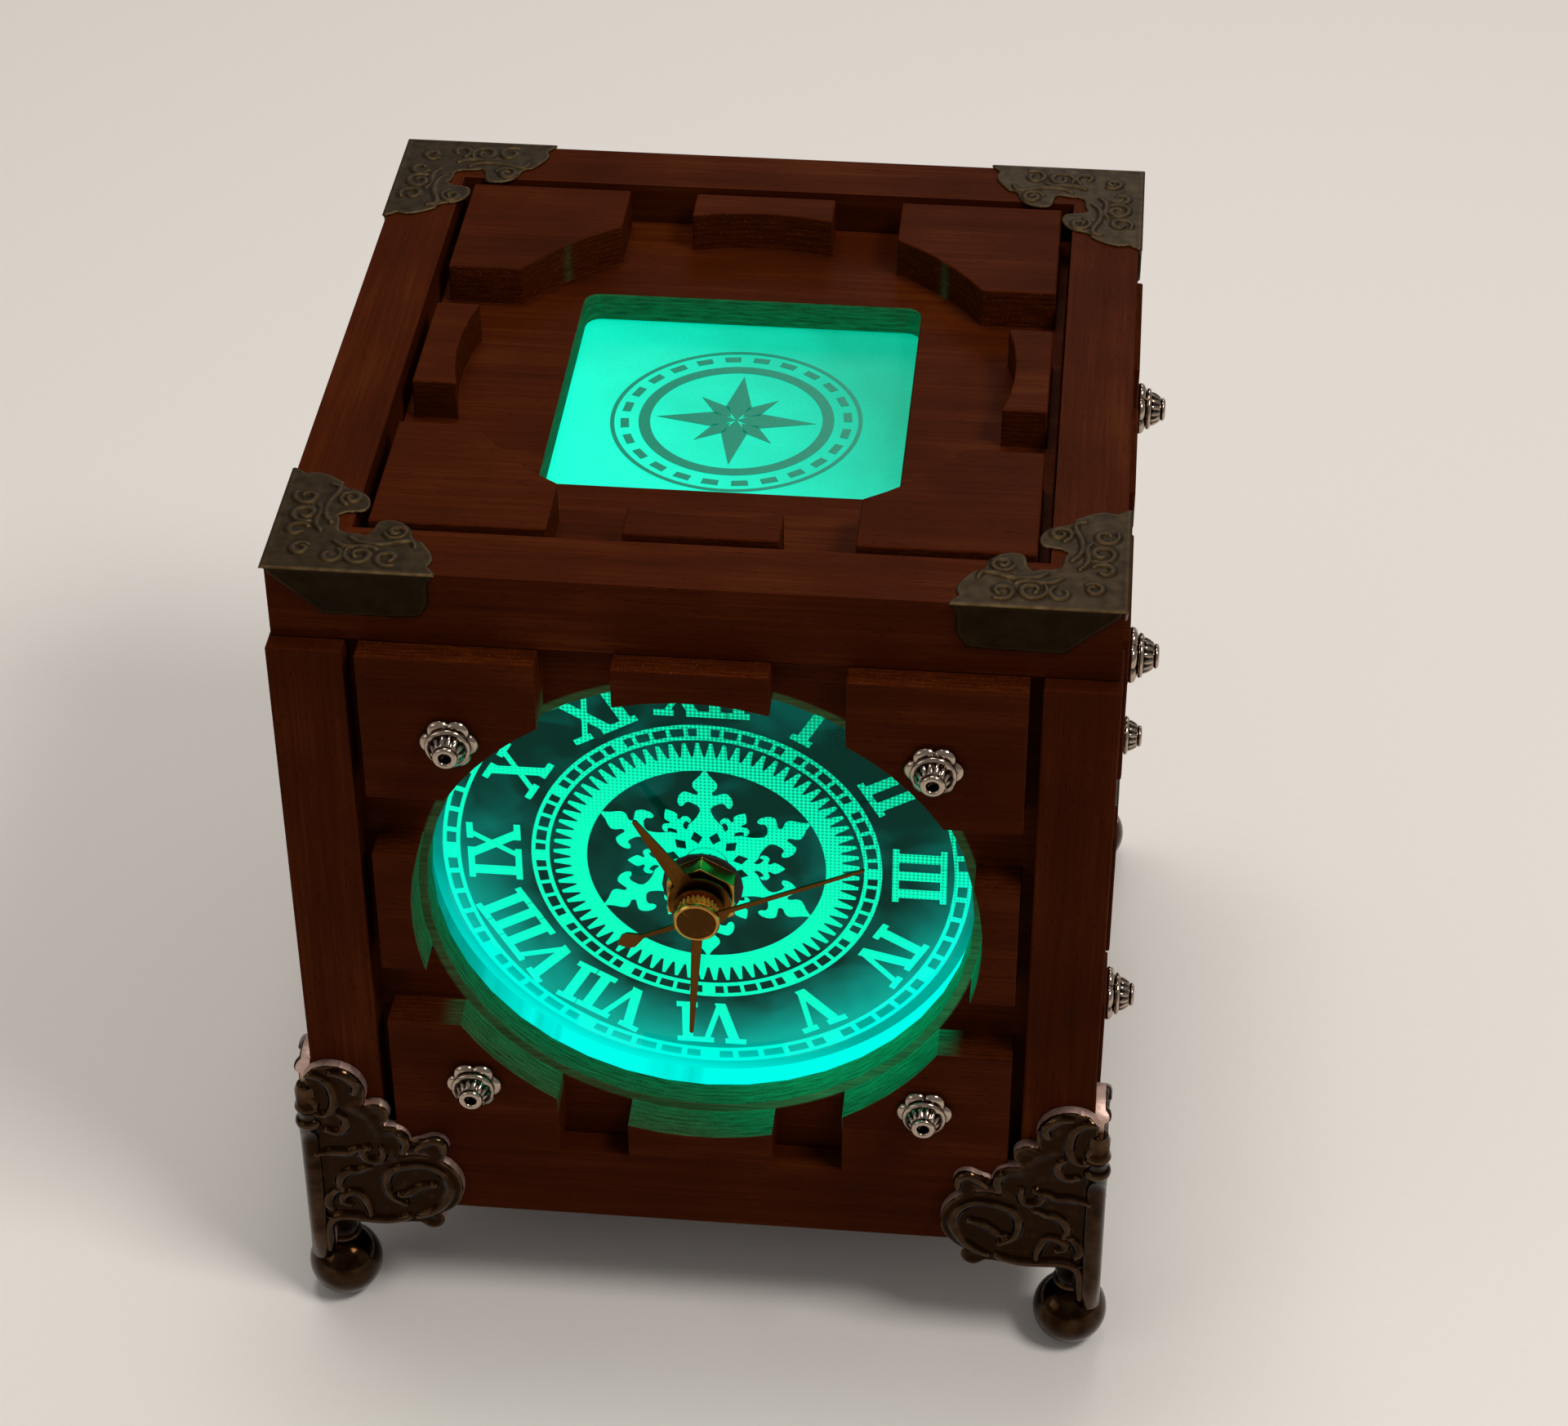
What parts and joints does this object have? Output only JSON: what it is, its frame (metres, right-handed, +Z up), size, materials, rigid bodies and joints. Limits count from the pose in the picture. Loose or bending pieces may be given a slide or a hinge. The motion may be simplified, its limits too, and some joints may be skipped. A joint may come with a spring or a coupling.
{
  "type": "cube clock",
  "caption": "Stained wooden cube clock with gear-cut sides, edge-lit acrylic dial, hinged window lid and cast scroll feet.",
  "frame": {"origin": "on the table, under the middle of the cube", "axes": "+Z up, the dial faces -Y, +X to the right as seen from the front"},
  "size_m": [0.1634, 0.1656, 0.1779],
  "materials": {
    "stained_wood": "dark reddish stain, satin varnish",
    "stained_board": "dark reddish stain, satin varnish",
    "pressed_sheet": "antique bronze plating, satin",
    "cast_metal": "dark bronze lacquer, glossy",
    "silver_plate": "antique silver plating, polished",
    "brass_plate": "brushed",
    "lit_acrylic": "clear, edge-lit, engraved at the back",
    "frosted_acrylic": "frosted, lit from below",
    "light_strip": "diffusing, lit",
    "black_plastic": "moulded, matt",
    "cell_jacket": "plain printed jacket without lettering",
    "wire_jacket": "insulated wire"
  },
  "bodies": {
    "case": {"corner_post_fl": "stained_wood", "foot_fl": "cast_metal", "corner_post_fr": "stained_wood", "foot_fr": "cast_metal", "corner_post_bl": "stained_wood", "foot_bl": "cast_metal", "corner_post_br": "stained_wood", "foot_br": "cast_metal", "gear_panel_front": "stained_board", "rail_front": "stained_wood", "stud_front_1": "silver_plate", "stud_front_2": "silver_plate", "stud_front_3": "silver_plate", "stud_front_4": "silver_plate", "gear_panel_back": "stained_board", "rail_back": "stained_wood", "stud_back_1": "silver_plate", "stud_back_2": "silver_plate", "stud_back_3": "silver_plate", "stud_back_4": "silver_plate", "gear_panel_left": "stained_board", "rail_left": "stained_wood", "stud_left_1": "silver_plate", "stud_left_2": "silver_plate", "stud_left_3": "silver_plate", "stud_left_4": "silver_plate", "gear_panel_right": "stained_board", "rail_right": "stained_wood", "stud_right_1": "silver_plate", "stud_right_2": "silver_plate", "stud_right_3": "silver_plate", "stud_right_4": "silver_plate", "bottom_board": "stained_board", "dial_disc": "lit_acrylic", "led_strip": "light_strip", "dial_ring": "black_plastic", "movement_case": "black_plastic", "movement_cell": "cell_jacket", "shaft_nut": "brass_plate", "switch_shell": "black_plastic", "cell_holder": "black_plastic", "window_lamp": "light_strip", "wire_strip": "wire_jacket", "wire_lamp": "wire_jacket", "hinge_body_leaf_left": "brass_plate", "hinge_body_leaf_right": "brass_plate"},
    "lid": {"lid_frame": "stained_wood", "lid_gear_panel": "stained_board", "lid_pane": "frosted_acrylic", "protector_fl": "pressed_sheet", "protector_fr": "pressed_sheet", "protector_bl": "pressed_sheet", "protector_br": "pressed_sheet", "hinge_lid_leaf_left": "brass_plate", "hinge_lid_leaf_right": "brass_plate"},
    "minute": {"minute_hand": "brass_plate"},
    "hour": {"hour_hand": "brass_plate"},
    "second": {"second_hand": "brass_plate"},
    "wheel": {"setting_wheel": "black_plastic"},
    "rocker": {"switch_rocker": "black_plastic"}
  },
  "joints": [
    {"name": "lid_hinge", "type": "hinge", "parent": "case", "child": "lid", "pos_m": [0, 0.07905, 0.16225], "axis": [-1, 0, 0], "range_deg": [0, 100]},
    {"name": "minute_turn", "type": "hinge", "parent": "case", "child": "minute", "pos_m": [0, -0.0706, 0.10305], "axis": [0, 1, 0], "continuous": true},
    {"name": "hour_turn", "type": "hinge", "parent": "case", "child": "hour", "pos_m": [0, -0.0688, 0.10305], "axis": [0, 1, 0], "continuous": true},
    {"name": "second_turn", "type": "hinge", "parent": "case", "child": "second", "pos_m": [0, -0.0732, 0.10305], "axis": [0, 1, 0], "continuous": true},
    {"name": "wheel_turn", "type": "hinge", "parent": "case", "child": "wheel", "pos_m": [0, -0.0385, 0.10305], "axis": [0, 1, 0], "continuous": true},
    {"name": "switch_tilt", "type": "hinge", "parent": "case", "child": "rocker", "pos_m": [0, 0.06945, 0.0768], "axis": [1, 0, 0], "range_deg": [0, 10]}
  ],
  "couplings": [
    {"joint": "hour_turn", "follows": "minute_turn", "ratio": 0.083333},
    {"joint": "wheel_turn", "follows": "minute_turn", "ratio": 1}
  ]
}
